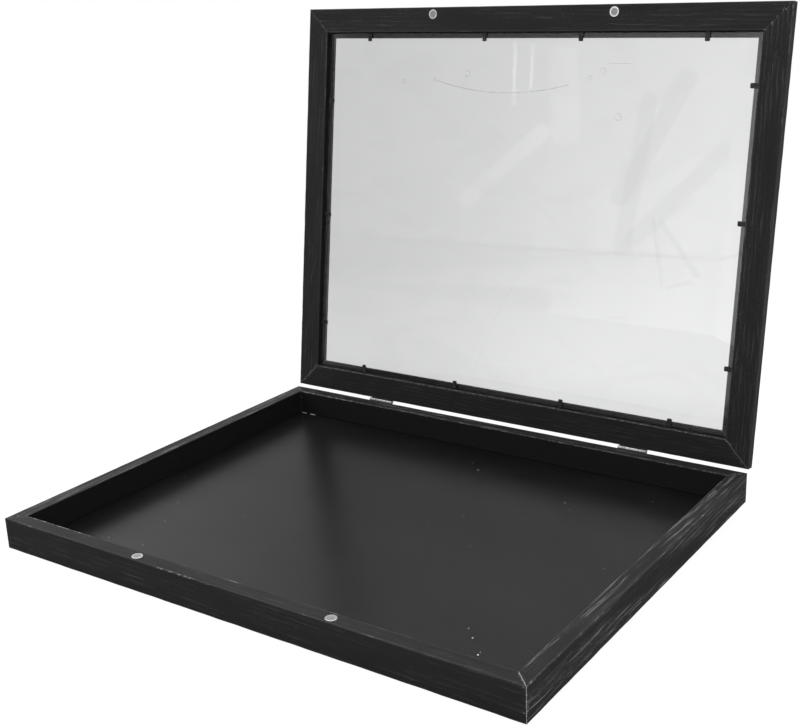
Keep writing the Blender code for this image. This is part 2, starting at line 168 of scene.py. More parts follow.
class Finish(Nodes):
    """A material with one Principled shader, and the nodes that vary it over the piece."""

    def __init__(self, name, **fixed):
        self.material = bpy.data.materials.new(name)
        self.material.use_nodes = True
        super().__init__(self.material.node_tree)
        self.shader = self.tree.nodes["Principled BSDF"]
        self.set(**fixed)

    def set(self, **sockets):
        """Sets or links the shader's own sockets, named with _ for a space."""
        for name, value in sockets.items():
            self.feed(self.shader.inputs[name.replace("_", " ")], value)

    def spot(self, to_piece=None):
        """The place on the piece, in the frame or in the directions that to_piece turns it into."""
        place = self.node("TexCoord", out="Object")
        if to_piece is None:
            return place
        turn = Matrix(to_piece)
        return self.node("Mapping", (), {
            "Vector": place, "Location": turn.to_translation(), "Rotation": turn.to_euler(),
        })

    def bump(self, height, distance, strength):
        sockets = {"Height": height, "Distance": distance, "Strength": strength}
        self.set(Normal=self.node("Bump", (), sockets))


def black_wood(name, to_rail, half_length, arrises, pith, lean, figure, shift, ends, rubs=()):
    """Open-grained wood under a thin black stain, in the rail's own along, inset and height.

    A ring's place is the distance from the pith line, which leans along the rail, plus a slow and
    a quick wobble. In the early wood, the first part of each ring's width, the open pores show as
    short light dashes that follow the ring. An arris is rubbed where the distance from its line is
    small, in patches and in the stretches that rubs names, and a mitre where the distance from its
    plane is. Fine grit dots the outside.
    """
    wood = Finish(name, Specular_IOR_Level=0.09)
    spot = wood.spot(to_rail)
    along, inset, height = wood.axes(spot)

    wobble = wood.noise(spot, (6, 24, 24), 3, shift) - 0.5
    ripple = wood.noise(spot, (48, 110, 110), 2, shift + 7) - 0.5
    distance = ((inset - pith[0]) ** 2 + (height - pith[1]) ** 2) ** 0.5 + along * lean
    distance = distance + wobble * 0.008 + ripple * 0.0008
    early = wood.rise((distance / RING_WIDTH).fraction(), 0.72, 0.20)
    follow = wood.node("CombineXYZ", (), {0: along * 22, 1: distance * 2100, 2: shift})
    dashes = wood.rise(wood.noise(follow, (1, 1, 1), 1), 0.56, 0.63)
    flecks = wood.rise(wood.noise(spot, (230, 1900, 1900), 2, shift + 3), 0.62, 0.67)
    patch = wood.rise(wood.noise(spot, (6, 36, 36), 2, shift + 11), 0.36, 0.60)
    outside = wood.rise(inset, arrises[1][0], arrises[1][0] - 0.0006)
    pores = (early * dashes).larger(flecks * 0.5) * (0.10 + 0.90 * patch) * (0.03 + 0.97 * outside)
    cloud = wood.noise(spot, (16, 60, 60), 3, shift + 23)

    scuffs = wood.rise(wood.noise(spot, (240, 420, 420), 3, shift + 19), 0.47, 0.62)
    places = wood.rise(wood.noise(spot, (13, 21, 21), 2, shift + 31), 0.55, 0.64)
    grit = wood.rise(wood.noise(spot, (520, 900, 900), 1, shift + 43), 0.70, 0.78)
    edges = []
    for at_inset, at_height in arrises:
        away = ((inset - at_inset) ** 2 + (height - at_height) ** 2) ** 0.5
        edges.append(wood.rise(away, *ARRIS_WORN))
    rubbed = reduce(Field.larger, edges) * (0.03 + 0.13 * places * scuffs) + 0.12 * grit * outside
    for number, start, end, share in rubs:
        stretch = wood.rise(along, start, start + 0.02) * wood.rise(along, end, end - 0.02)
        rubbed = rubbed.larger(edges[number] * stretch * (0.12 + 0.88 * scuffs) * share)
    seam = half_length - inset - abs(along)
    joint = wood.rise(seam, 0.0010, 0.0003) * (0.30 + 0.70 * scuffs)
    crumbs = wood.rise(wood.noise(spot, (420, 420, 420), 2, shift), 0.64, 0.70)
    filler = wood.rise(seam, 0.007, 0.001) * crumbs
    worn_end = ends[0] + (ends[1] - ends[0]) * wood.rise(along, -0.1, 0.1)
    rubbed = rubbed.larger(joint * worn_end).larger(filler * 0.7)

    stain = wood.mix(cloud * outside, STAINED, STAINED_THIN)
    colour = wood.mix(pores * figure, stain, OPEN_GRAIN)
    wood.set(
        Base_Color=wood.mix(rubbed, colour, RUBBED),
        Roughness=0.58 - 0.10 * patch + 0.14 * pores,
    )
    wood.bump(1 - pores, 0.00022, 0.55)
    return wood.material


def uneven(count, seed, most):
    """A gentle unevenness along a length: most times the mean of sines of seeded turns."""
    rng = np.random.default_rng(seed)
    share = np.linspace(0, 1, count)[:, None]
    waves = np.sin(math.tau * (share * rng.uniform(1.5, 22, 7) + rng.random(7)))
    return waves.mean(1) * most


def moulding(corners, half_length, seed, stations=110, steps=6, hold=0.0005):
    """A mitred rail as a grid, station along it by point round its profile, in its own directions.

    A corner of the profile is a quarter circle: the corner, plus its radius times (1 - sine of t)
    towards the corner before and (1 - cosine of t) towards the one after. A point's place along the
    rail is the station, from -1 to 1, times half the length less its inset.
    """
    table = np.array(corners, float)
    place, radius = table[:, :2], table[:, 2]
    to_last = np.roll(place, 1, 0) - place
    to_next = np.roll(place, -1, 0) - place
    to_last /= np.linalg.norm(to_last, axis=1, keepdims=True)
    to_next /= np.linalg.norm(to_next, axis=1, keepdims=True)
    t = np.linspace(0, math.pi / 2, steps)
    back = np.concatenate(([1], 1 - np.sin(t), [0]))
    forth = np.concatenate(([0], 1 - np.cos(t), [1]))
    held = np.zeros(steps + 2)
    held[0] = hold
    radii = radius * (1 + uneven(stations, seed, 0.9)[:, None] * (radius > CRISP))
    by_back = (radii[:, :, None] * back + held)[..., None] * to_last[:, None]
    by_forth = (radii[:, :, None] * forth + held[::-1])[..., None] * to_next[:, None]
    ring = (place[:, None] + by_back + by_forth).reshape(stations, -1, 2)
    inset, height = ring[..., 0], ring[..., 1]
    along = np.linspace(-1, 1, stations)[:, None] * (half_length - inset - MITRE_GAP / 2)
    return np.stack((along, inset, height), -1)


def shell(grid, ends=True):
    """Points and faces of a grid whose rows are closed rings, with a flat face on each end."""
    rows, around = grid.shape[:2]
    index = np.arange(rows * around).reshape(rows, around)
    beside = np.roll(index, -1, 1)
    quads = np.stack((index[:-1], beside[:-1], beside[1:], index[1:]), -1).reshape(-1, 4).tolist()
    caps = [index[0, ::-1].tolist(), index[-1].tolist()] if ends else []
    return grid.reshape(-1, 3), quads + caps


DOUBLES, SLIVERS = 1e-7, 1e-6


def clean(mesh, nearest, sharp):
    """Merges close points and slivers, turns the faces outwards and marks the sharp edges."""
    bm = bmesh.new()
    bm.from_mesh(mesh)
    bmesh.ops.remove_doubles(bm, verts=bm.verts, dist=nearest)
    bmesh.ops.dissolve_degenerate(bm, edges=bm.edges, dist=nearest)
    bmesh.ops.recalc_face_normals(bm, faces=bm.faces)
    bm.to_mesh(mesh)
    bm.free()
    mesh.shade_smooth()
    mesh.set_sharp_from_angle(angle=math.radians(sharp))


def moved(points, place):
    return points @ place[:3, :3].T + place[:3, 3]


def solid(name, shells, place=np.eye(4), surface=None, sharp=30):
    """One clean mesh of closed shells, moved to its place."""
    points = np.concatenate([shell_points for shell_points, _ in shells])
    starts = np.cumsum([0] + [len(shell_points) for shell_points, _ in shells])
    faces = [[int(start) + i for i in face]
             for start, (_, shell_faces) in zip(starts, shells) for face in shell_faces]
    mesh = bpy.data.meshes.new(name)
    mesh.from_pydata(moved(points, place), [], faces)
    clean(mesh, DOUBLES, sharp)
    if surface:
        mesh.materials.append(surface)
    piece = bpy.data.objects.new(name, mesh)
    bpy.context.scene.collection.objects.link(piece)
    return piece


def carve(piece, knives, sharp=30, how="DIFFERENCE"):
    """Takes each knife out of the piece, or joins it on, and keeps the result as its mesh."""
    for knife in knives:
        step = piece.modifiers.new("carve", "BOOLEAN")
        step.object, step.operation, step.solver = knife, how, "EXACT"
    graph = bpy.context.evaluated_depsgraph_get()
    left = bpy.data.meshes.new_from_object(piece.evaluated_get(graph))
    piece.modifiers.clear()
    piece.data = left
    clean(left, SLIVERS, sharp)
    for knife in knives:
        bpy.data.objects.remove(knife)


def lathe(profile, around=32):
    """A turned shape about its own height: each radius and height of the profile, swept round."""
    angle = np.linspace(0, math.tau, around, endpoint=False)
    radius, height = np.array(profile, float).T[:, :, None]
    level = np.broadcast_to(height, (len(height), around))
    return shell(np.stack((radius * np.cos(angle), radius * np.sin(angle), level), -1), ends=False)


def frame_side(degrees, reach):
    """A rail's own directions in the frame: along it, inset from its outer face, and height."""
    turn = math.radians(degrees)
    along, inwards = (math.cos(turn), math.sin(turn), 0), (-math.sin(turn), math.cos(turn), 0)
    out = reach[1] if abs(inwards[1]) > 0.5 else reach[0]
    place = np.eye(4)
    place[:3, :3] = np.array((along, inwards, (0, 0, 1))).T
    place[:3, 3] = np.array(inwards) * -out
    return place


def middle(node):
    low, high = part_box(node)
    return np.array((low + high) / 2)


def at(point, turn=np.eye(3)):
    place = np.eye(4)
    place[:3, :3], place[:3, 3] = turn, point
    return place


FACE_DOWN = np.diag((1, -1, -1))
FACE_BACK = np.array(((1, 0, 0), (0, 0, 1), (0, -1, 0)))
MAGNET_RADIUS, MAGNET_DEPTH = 0.0075, 0.0030
PLATE_SIZE, PLATE_THICK, PLATE_SUNK = (0.046, 0.011), 0.0016, 0.0002
POCKET = (-0.0105, -0.0045, 0.0018), (0.0130, 0.0045, 0.0069)
SCREW_HEAD, SCREW_SHANK, SCREW_LONG = 0.0024, 0.0012, 0.012
PIN_HOLE, PIN_HOLE_DEEP = 0.0009, 0.0185
PLAY = 0.0003
PROUD = 0.002
HANGER_X = 0.250


def bore(radius, deep, above=PROUD):
    return lathe([(0, above), (radius, above), (radius, -deep), (0, -deep)])


def screw_hole(gap=PLAY):
    """A pilot hole with a countersink, both wider than the screw by the gap."""
    head, shank = SCREW_HEAD + gap, SCREW_SHANK + gap
    sunk = [(0, PROUD), (head, PROUD), (head, 0), (shank, shank - head)]
    return lathe([*sunk, (shank, -SCREW_LONG), (0, -SCREW_LONG)], 20)


def block(low, high):
    """A box between two corners, as a grid of two rings."""
    (x0, y0, z0), (x1, y1, z1) = low, high
    ring = np.array(((x0, y0), (x1, y0), (x1, y1), (x0, y1)))
    return shell(np.stack([np.c_[ring, np.full(4, z)] for z in (z0, z1)]))


def round_ended(length, width, heights, steps=14):
    """A bar with round ends on a grid of rings: half circles at its two ends, at each height."""
    angle = np.linspace(-math.pi / 2, math.pi / 2, steps)
    radius = width / 2
    right = np.c_[length / 2 - radius + radius * np.cos(angle), radius * np.sin(angle)]
    ring = np.concatenate((right, -right))
    return shell(np.stack([np.c_[ring, np.full(len(ring), height)] for height in heights]))


def cutter(shells_at):
    """A cutting shape: each shell moved to its own place."""
    return solid("cutter", [(moved(points, place), faces) for (points, faces), place in shells_at])


# A rub is the number of its arris, from where to where along the rail, and how strong it is.
GRAIN = {
    "front": dict(
        pith=(0.060, -0.040), lean=0.010, figure=0.05, shift=3.1, ends=(0.06, 0.95),
        rubs=((1, -0.385, -0.245, 0.6), (1, -0.040, 0.012, 0.6),
              (0, -0.125, -0.015, 0.28), (1, 0.120, 0.165, 0.4)),
    ),
    "right": dict(
        pith=(0.055, -0.028), lean=-0.012, figure=0.38, shift=17.4, ends=(0.75, 0.20),
        rubs=((0, -0.317, -0.285, 0.5), (1, 0.235, 0.290, 0.4)),
    ),
    "back": dict(
        pith=(0.062, -0.044), lean=0.012, figure=0.30, shift=29.8, ends=(0.20, 0.15),
        rubs=((1, -0.385, 0.385, 0.16), (1, 0.260, 0.385, 0.45)),
    ),
    "left": dict(
        pith=(0.058, -0.036), lean=0.020, figure=0.34, shift=41.2, ends=(0.15, 0.10),
        rubs=((0, -0.250, -0.200, 0.4), (0, 0.230, 0.310, 0.4)),
    ),
}
hanger_places = {
    side: at((HANGER_X, middle(f"hanger_{side}_plate")[1], PLATE_SUNK))
    for side in ("front", "back")
}
hinge_screws = [node for node in frame["nodes"] if node.startswith("hinge") and "_screw_" in node]
for side, degrees in SIDES.items():
    half_length = CASE_REACH[0] if side in ("front", "back") else CASE_REACH[1]
    place = frame_side(degrees, CASE_REACH)
    to_rail = np.linalg.inv(place)
    wood = black_wood(f"black_wood_case_{side}", to_rail, half_length, CASE_ARRISES, **GRAIN[side])
    bar = shell(moulding(CASE_CORNERS, half_length, degrees + CASE_SEED))
    rail = solid(f"case_{side}", [bar], place, wood)
    cuts = [(bore(PIN_HOLE, PIN_HOLE_DEEP, 0), at((*middle(node)[:2], 0), FACE_DOWN))
            for node in frame["nodes"] if node.startswith(f"board_pin_{side}")]
    if side == "front":
        for number in (1, 2):
            seat = (*middle(f"magnet_case_{number}")[:2], CASE_HEIGHT)
            cuts.append((bore(MAGNET_RADIUS + PLAY, MAGNET_DEPTH), at(seat)))
    if side == "back":
        for node in hinge_screws:
            if "_case_" in node:
                x, _, z = middle(node)
                cuts.append((screw_hole(), at((x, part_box(node)[1].y, z), FACE_BACK)))
    if side in hanger_places:
        length, width = PLATE_SIZE
        mortise = round_ended(length + 2 * PLAY, width + 2 * PLAY, (-PROUD, PLATE_THICK + PLAY))
        carve(rail, [cutter([(mortise, hanger_places[side])])])
        cuts.append((block(*POCKET), hanger_places[side]))
        for number in (1, 2):
            x, y, _ = middle(f"hanger_{side}_screw_{number}")
            cuts.append((screw_hole(), at((x, y, PLATE_SUNK), FACE_DOWN)))
    carve(rail, [cutter(cuts)])
    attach(rail, "case")
    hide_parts(f"case_rail_{side}")


# Backing board
# A 6 mm sheet of hardboard, painted black and satin. It lies in the rebate under the rails,
# and bows up by a hair in the middle, as such a thin sheet does.

BOARD_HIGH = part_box("backing_board")[1]
BOARD_EASE, BOARD_BOW = 0.0004, 0.0003
BOARD_BLACK = 0.0030, 0.0030, 0.0032, 1
BOARD_WORN = 0.018, 0.018, 0.018, 1
# Light grey of the dust specks and chips, also used for the painted glint on the glue bead
DUST_AND_GLINT = 0.62, 0.62, 0.60, 1
CHIPS = (
    (0.255, -0.190, 0.0006), (0.270, -0.206, 0.0008), (0.294, -0.234, 0.0010),
    (0.189, 0.176, 0.0006), (0.282, 0.289, 0.0005), (0.021, 0.219, 0.0007),
)
# Line and ends of the dried glue bead, painted light as a painted highlight for the glint along it
GLUE_GLINT_START, GLUE_GLINT_END, GLUE_GLINT_LINE, GLUE_GLINT_HALF = -0.379, -0.345, 0.2926, 0.0009
PIN_ROOM, PIN_ROOM_HEAD, PIN_ROOM_DEEP = (0.0018, 0.001), 0.0009, 0.019
PIN_SUNK = 0.0002


def sheet(half_x, half_y, low, high, ease, bow=0.0, inner=26, around=64, steps=5):
    """A flat sheet with eased edges: a grid of rectangles, out over its top, round and back.

    A ring is the sheet's outline drawn in: by a share of its size on the two faces, and by an
    inset from the quarter circles of the rim. The top stands up by bow times the product of
    1 - x squared and 1 - y squared, both as shares of the half size.
    """
    side = np.linspace(-1, 1, around // 4, endpoint=False)
    one = np.ones_like(side)
    outline = np.concatenate((
        np.c_[side, -one], np.c_[one, side], np.c_[-side, one], np.c_[-one, -side],
    ))
    share = np.linspace(0, 1, inner)
    half = np.array((half_x, half_y))
    face = share[:, None, None] * outline * (half - ease)
    t = np.linspace(0, math.pi / 2, steps)
    rim = outline * (half - ease + ease * np.sin(t)[:, None, None])
    flat = np.concatenate((face, rim, rim[::-1], face[::-1]))
    drop = ease * (1 - np.cos(t))
    level = np.concatenate((
        np.full(inner, high), high - drop, low + drop[::-1], np.full(inner, low),
    ))
    height = np.broadcast_to(level[:, None], flat.shape[:2]).copy()
    crown = bow * (1 - (face[..., 0] / half_x) ** 2) * (1 - (face[..., 1] / half_y) ** 2)
    height[:inner] += crown
    return shell(np.concatenate((flat, height[..., None]), -1), ends=False)


def board_paint():
    """Satin black paint: orange peel and wiped patches, and on top specks, chips, and a bead of
    dried glue painted light as a painted highlight for its glint.

    A speck of dust is where the distance to the nearest of scattered points is small, in the
    cells whose own random number is high. A chip is where the distance from its place is small.
    The bead of dried glue in the back left corner, painted light grey to stand for its glint as
    well as the glue, is where the distance from its line is small, between two places along X.
    """
    paint = Finish("black_board_paint", Specular_IOR_Level=0.16)
    spot = paint.spot()
    x, y, height = paint.axes(spot)
    upper = paint.rise(height, 0.0050, 0.0056)
    peel = paint.noise(spot, (620, 620, 620), 2)
    wiped = paint.rise(paint.noise(spot, (7, 13, 9), 2, 5.0), 0.35, 0.75)
    cells = paint.node("TexVoronoi", {"voronoi_dimensions": "2D"}, {"Vector": spot, "Scale": 34.0})
    cells = cells.socket.node
    chance = paint.axes(Field(cells.outputs["Color"]))[0]
    specks_and_glint = paint.rise(Field(cells.outputs["Distance"]), 0.020, 0.010)
    specks_and_glint = specks_and_glint * paint.rise(chance, 0.94, 0.96)
    for chip_x, chip_y, radius in CHIPS:
        away = ((x - chip_x) ** 2 + (y - chip_y) ** 2) ** 0.5
        specks_and_glint = specks_and_glint.larger(paint.rise(away, radius * 1.3, radius * 0.7))
    # Painted highlight: a light grey streak for dried glue and its glint at the foot of the back
    # left inner corner
    glue_glint = paint.rise(abs(y - GLUE_GLINT_LINE), GLUE_GLINT_HALF * 1.3, GLUE_GLINT_HALF * 0.7)
    glue_glint = glue_glint * paint.rise(x, GLUE_GLINT_START, GLUE_GLINT_START + 0.004)
    glue_glint = glue_glint * paint.rise(x, GLUE_GLINT_END, GLUE_GLINT_END - 0.008)
    glue_glint = glue_glint * paint.rise(paint.noise(spot, (240, 240, 240), 2, 41.0), 0.38, 0.54)
    specks_and_glint = specks_and_glint.larger(glue_glint) * upper
    scratch = paint.rise(paint.noise(spot, (9, 640, 640), 1, 23.0), 0.70, 0.76) * wiped * 0.2
    worn = paint.mix(wiped * 0.12 + scratch, BOARD_BLACK, BOARD_WORN)
    paint.set(
        Base_Color=paint.mix(specks_and_glint * 0.9, worn, DUST_AND_GLINT),
        Roughness=0.27 - 0.01 * wiped + 0.10 * specks_and_glint,
    )
    paint.bump(peel + specks_and_glint * 0.6, 0.00004, 0.4)
    return paint.material


board_shell = sheet(BOARD_HIGH.x, BOARD_HIGH.y, 0, BOARD_HIGH.z, BOARD_EASE, BOARD_BOW)
board = solid("backing_board_sheet", [board_shell], surface=board_paint())
pin_nodes = sorted(node for node in frame["nodes"] if node.startswith("board_pin"))
head, shank = PIN_ROOM
pin_hole = lathe([
    (0, PROUD), (head, PROUD), (head, -PIN_ROOM_HEAD), (shank, -PIN_ROOM_HEAD),
    (shank, -PIN_ROOM_DEEP), (0, -PIN_ROOM_DEEP),
], 20)
pin_places = {node: at((*middle(node)[:2], PIN_SUNK), FACE_DOWN) for node in pin_nodes}
carve(board, [cutter([(pin_hole, place) for place in pin_places.values()])])
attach(board, "case")
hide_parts("backing_board")


# Panel pins
# Ten zinc-plated nails with flat heads, driven up through the board's edge into the rails.
# Each head stands just under the board's back.

ZINC = 0.53, 0.54, 0.55, 1
ZINC_DULL = 0.30, 0.31, 0.32, 1
ZINC_RUST = 0.21, 0.14, 0.09, 1


def zinc_plate(name, rust):
    """Bright zinc gone dull in clouds, with a little rust in the thin places."""
    zinc = Finish(name, Metallic=1.0)
    spot = zinc.spot()
    cloud = zinc.rise(zinc.noise(spot, (320, 320, 320), 4, 2.0), 0.36, 0.66)
    pits = zinc.rise(zinc.noise(spot, (1500, 1500, 1500), 3, 9.0), 0.60, 0.74)
    zinc.set(
        Base_Color=zinc.mix(pits * rust, zinc.mix(cloud, ZINC, ZINC_DULL), ZINC_RUST),
        Roughness=0.30 + 0.18 * cloud + 0.25 * pits,
    )
    zinc.bump(cloud * 0.4 - pits, 0.00004, 0.6)
    return zinc.material


PIN_PROFILE = (
    (0, 0.00006), (0.0006, 0.00005), (0.00115, 0.00001), (0.00138, -0.00006), (0.0015, -0.00022),
    (0.00149, -0.0004), (0.00138, -0.00055), (0.0009, -0.00062), (0.0007, -0.0009),
    (0.0007, -0.0165), (0.0004, -0.0174), (0, -0.018),
)
pin_zinc = zinc_plate("zinc_pins", 0.55)
for node, place in pin_places.items():
    name = f"nail_{node.removeprefix('board_pin_')}"
    pin = solid(name, [lathe(PIN_PROFILE, 24)], place, pin_zinc, 40)
    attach(pin, "case")
    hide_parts(node)


# Keyhole plates
# Two pressed plates of zinc-plated steel, let in flush with the backs of the long rails, each
# with a keyhole that drops over a wall screw, and a countersunk wood screw at either end.

KEY_ROUND, KEY_SLOT, KEY_RUN, KEY_OFFSET = 0.004, 0.0023, 0.0145, 0.006
PLATE_RIM = 0.00022
THREAD_TOP, THREAD_END, THREAD_PITCH, THREAD_DEEP = -0.0018, 0.0085, 0.00035, 0.00022
RECESS = ((0.00132, 0.00037), 0.0003), ((0.0012, 0.00034), 0), ((0.0004, 0.0002), -0.0011)


def keyhole(heights):
    """The outline at each height: the arc of the round entry, and the slot's end half circle."""
    opening = math.asin(KEY_SLOT / KEY_ROUND)
    wide = np.linspace(opening, math.tau - opening, 30)
    narrow = np.linspace(-math.pi / 2, math.pi / 2, 14)
    entry = np.c_[np.cos(wide), np.sin(wide)] * KEY_ROUND - (KEY_OFFSET, 0)
    end = np.c_[np.cos(narrow), np.sin(narrow)] * KEY_SLOT + (KEY_RUN - KEY_OFFSET, 0)
    ring = np.concatenate((entry, end))
    return shell(np.stack([np.c_[ring, np.full(len(ring), height)] for height in heights]))


def screw(place, name, surface):
    """A countersunk wood screw: a turned head and root, with a cross recess sunk in the head.

    The thread is a turned profile whose radius rises and falls as a triangle wave. The recess is
    cut at the origin, where every screw is the same, and the finished screw is moved to its place.
    """
    turns = np.arange(0, THREAD_END, THREAD_PITCH)
    ridge = np.c_[SCREW_SHANK - THREAD_DEEP * (np.arange(len(turns)) % 2), THREAD_TOP - turns]
    head = [(0, 0), (0.0021, 0), (SCREW_HEAD - 0.00008, -0.00003), (SCREW_HEAD, -0.00016)]
    neck = [(SCREW_SHANK + 0.0002, -0.00125), (SCREW_SHANK, -0.0015)]
    profile = [*head, *neck, *ridge.tolist(), (0.0003, -0.0116), (0, -SCREW_LONG)]
    made = solid(name, [lathe(profile, 28)], surface=surface, sharp=38)
    ring = np.array(((-1, -1), (1, -1), (1, 1), (-1, 1)))
    taper = shell(np.stack([np.c_[ring * half, np.full(4, z)] for half, z in RECESS]))
    turns = [np.array(Matrix.Rotation(turn, 4, "Z")) for turn in (0, math.pi / 2)]
    carve(made, [cutter([(taper, turn)]) for turn in turns], 38)
    made.data.transform(Matrix(place))
    return made


plate_zinc = zinc_plate("zinc_keyhole_plate", 0.30)
screw_zinc = zinc_plate("zinc_screws", 0.40)
for side, place in hanger_places.items():
    strip = round_ended(*PLATE_SIZE, (0, PLATE_THICK), 20)
    plate = solid(f"keyhole_plate_{side}", [strip], place, plate_zinc)
    nodes = [f"hanger_{side}_screw_{number}" for number in (1, 2)]
    seats = [at((*middle(node)[:2], PLATE_SUNK), FACE_DOWN) for node in nodes]
    carve(plate, [
        cutter([(keyhole((-PROUD, 2 * PROUD)), place)]),
        cutter([(screw_hole(), seat) for seat in seats]),
    ])
    rim = plate.modifiers.new("rim", "BEVEL")
    rim.width, rim.segments, rim.limit_method = PLATE_RIM, 2, "ANGLE"
    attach(plate, "case")
    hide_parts(f"hanger_{side}_plate")
    for number, node in enumerate(nodes, 1):
        turned = FACE_DOWN @ np.array(Matrix.Rotation(0.5 + number, 3, "Z"))
        seat = at((*middle(node)[:2], PLATE_SUNK + 0.0001), turned)
        made = screw(seat, f"plate_screw_{side}_{number}", screw_zinc)
        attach(made, "case")
        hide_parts(node)


# Lid rails
# The same stained wood as the case, flat and mitred. A deep rebate on the inner side leaves a
# thin lip in front, on which the pane lies.

LID_FACE, LID_THICK, LIP_WIDTH, REBATE_DEEP = 0.037, 0.015, 0.009, 0.011
LID_CORNERS = (
    (0, 0, SANDED), (LID_FACE, 0, 0.0005), (LID_FACE, REBATE_DEEP, CRISP),
    (LID_FACE + LIP_WIDTH, REBATE_DEEP, CRISP), (LID_FACE + LIP_WIDTH, LID_THICK, 0.0006),
    (0, LID_THICK, SANDED),
)
LID_ARRISES = (0, 0), (LID_FACE, 0), (0, LID_THICK), (LID_FACE + LIP_WIDTH, REBATE_DEEP)
LIP_RUB = 3, -1, 1, 0.30
LID_NAMES = {"front": "free", "back": "hinge", "left": "left", "right": "right"}
LID_SEED = 31
LID_GAP = 0.0008
SCREW_SEAT = -0.0017
LID_TURN = math.radians(-98)
hinge = frame["joints"][0]
pivot = np.array(hinge["pos_m"])
LID_OPEN = at(pivot) @ np.array(Matrix.Rotation(LID_TURN, 4, "X"))
LID = LID_OPEN @ at((0, -pivot[1], LID_GAP / 2))
TO_LID = np.linalg.inv(LID)


def on_lid(node):
    """A CAD node's middle in the lid's own directions, with height 0 on the lid's inner face."""
    return (TO_LID @ np.array((*middle(node), 1)))[:3]


PANE_THICK, TAB_THICK = 0.002, 0.0006
TAB_ROOM = (-0.0053, -0.0039, -PLAY), (0.002, 0.0039, 0.0009)
TAB_BASE = REBATE_DEEP - PLAY - PANE_THICK - PLAY - TAB_THICK
LID_GRAIN = {
    "front": dict(
        pith=(0.110, 0.070), lean=0.012, figure=0.05, shift=53.7, ends=(0.12, 0.05),
        rubs=(LIP_RUB,),
    ),
    "right": dict(
        pith=(0.100, 0.060), lean=-0.016, figure=0.08, shift=64.3, ends=(0.05, 0.40),
        rubs=(LIP_RUB, (0, -0.317, -0.290, 0.5)),
    ),
    "back": dict(
        pith=(0.120, 0.050), lean=0.010, figure=0.05, shift=77.9, ends=(0.35, 0.40),
        rubs=(LIP_RUB, (1, -1, 1, 0.30)),
    ),
    "left": dict(
        pith=(0.105, 0.080), lean=0.014, figure=0.05, shift=88.6, ends=(0.30, 0.12),
        rubs=(LIP_RUB,),
    ),
}
tab_nodes = sorted(node for node in frame["nodes"] if node.startswith("glazing_tab"))
tab_places = {}
inwards = np.array(Matrix.Rotation(math.pi / 2, 4, "Z"))
for side, degrees in SIDES.items():
    side_name = LID_NAMES[side]
    place = frame_side(degrees, CASE_REACH)
    own_tabs = [node for node in tab_nodes if f"_{side_name}_" in node]
    for node in own_tabs:
        along = (np.linalg.inv(place) @ np.array((*on_lid(node), 1)))[0]
        tab_places[node] = place @ at((along, LID_FACE, TAB_BASE)) @ inwards
    half_length = CASE_REACH[0] if side in ("front", "back") else CASE_REACH[1]
    place = LID @ place
    to_rail = np.linalg.inv(place)
    wood = black_wood(
        f"black_wood_lid_{side}", to_rail, half_length, LID_ARRISES, **LID_GRAIN[side],
    )
    bar = shell(moulding(LID_CORNERS, half_length, degrees + LID_SEED))
    rail = solid(f"lid_{side_name}", [bar], place, wood)
    cuts = [(block(*TAB_ROOM), LID @ tab_places[node]) for node in own_tabs]
    if side == "front":
        for number in (1, 2):
            seat = (*on_lid(f"magnet_lid_{number}")[:2], 0)
            cuts.append((bore(MAGNET_RADIUS + PLAY, MAGNET_DEPTH), LID @ at(seat, FACE_DOWN)))
    if side == "back":
        for node in hinge_screws:
            if "_lid_" in node:
                x, _, z = middle(node.replace("_lid_", "_case_"))
                seat = at((x, SCREW_SEAT, pivot[2] - z), FACE_BACK)
                cuts.append((screw_hole(), LID_OPEN @ seat))
    carve(rail, [cutter(cuts)])
    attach(rail, "lid")
    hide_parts(f"lid_rail_{side_name}")


# Clear pane
# A sheet of 2 mm acrylic, dropped into the lid's rebate on its front lip. It is not quite flat,
# has a haze of fine wear, and bears a few long hairline scratches.

PANE_SLACK, PANE_EASE = 0.001, 0.00015
PANE_SIZE = [reach - LID_FACE - PANE_SLACK for reach in CASE_REACH]
PANE_LEVEL = REBATE_DEEP - PLAY - PANE_THICK, REBATE_DEEP - PLAY
ACRYLIC = 0.735, 0.738, 0.740, 1
HAIRLINE = 0.30, 0.30, 0.30, 1
# A scratch is the centre and radius of a circle, from where to where along X, and its depth.
SCRATCHES = (
    (-0.032, -0.632, 0.443, -0.158, 0.085, 0.75),
    (0.156, -2.200, 1.966, 0.135, 0.178, 0.40),
    (-0.138, 0.793, 1.000, 0.155, 0.182, 0.35),
    (0.560, 0.420, 0.640, -0.060, 0.010, 0.16),
    (-0.420, -0.100, 0.330, -0.110, -0.095, 0.20),
    (0.300, 0.900, 0.780, 0.110, 0.200, 0.14),
    (-0.2130, -0.2033, 0.0030, -0.227, -0.199, 0.50),
    (-0.0965, -0.2165, 0.0046, -0.111, -0.083, 0.55),
    (-0.0990, -0.2110, 0.0028, -0.113, -0.085, 0.45),
    (-0.1550, -0.2060, 0.0028, -0.169, -0.141, 0.55),
    (0.1119, -0.2130, 0.0030, 0.098, 0.126, 0.40),
    (0.1314, -0.2230, 0.0044, 0.117, 0.145, 0.45),
    (0.1602, -0.1593, 0.0050, 0.146, 0.174, 0.45),
)


